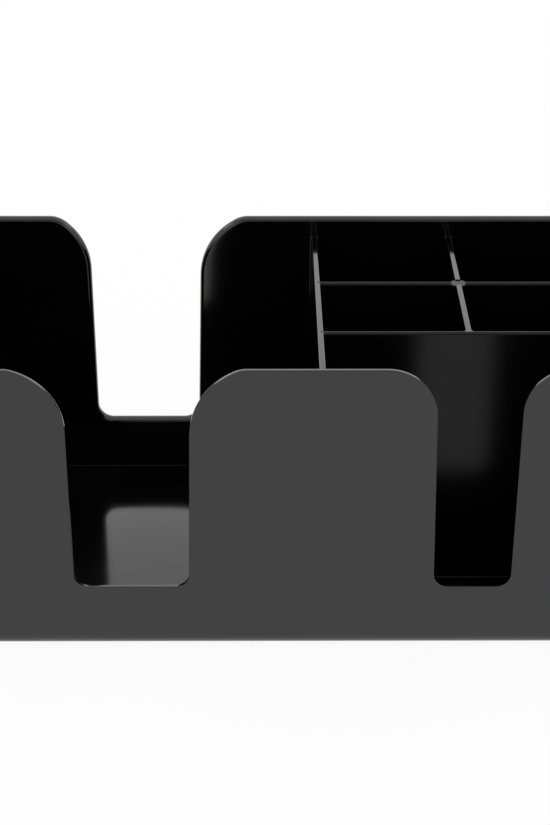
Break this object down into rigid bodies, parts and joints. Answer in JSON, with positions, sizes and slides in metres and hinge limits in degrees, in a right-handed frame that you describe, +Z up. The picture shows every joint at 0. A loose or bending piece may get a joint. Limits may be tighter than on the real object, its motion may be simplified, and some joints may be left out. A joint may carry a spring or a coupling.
{
  "type": "desk organizer",
  "caption": "Open plastic desk caddy with a wide slotted compartment beside a long pocket and a grid of small pockets.",
  "frame": {"origin": "on the table, under the middle of the tub", "axes": "+X towards the side with the small pockets, along the long side; +Y towards the back wall; +Z up. The wall with two slots faces -Y."},
  "size_m": [0.2414, 0.1444, 0.108],
  "materials": {
    "black_plastic": "glossy moulded black plastic"
  },
  "bodies": {
    "root": {"organizer_tub": "black_plastic", "main_divider": "black_plastic", "rear_cross_divider": "black_plastic", "front_cross_divider": "black_plastic", "short_divider": "black_plastic"}
  },
  "joints": []
}
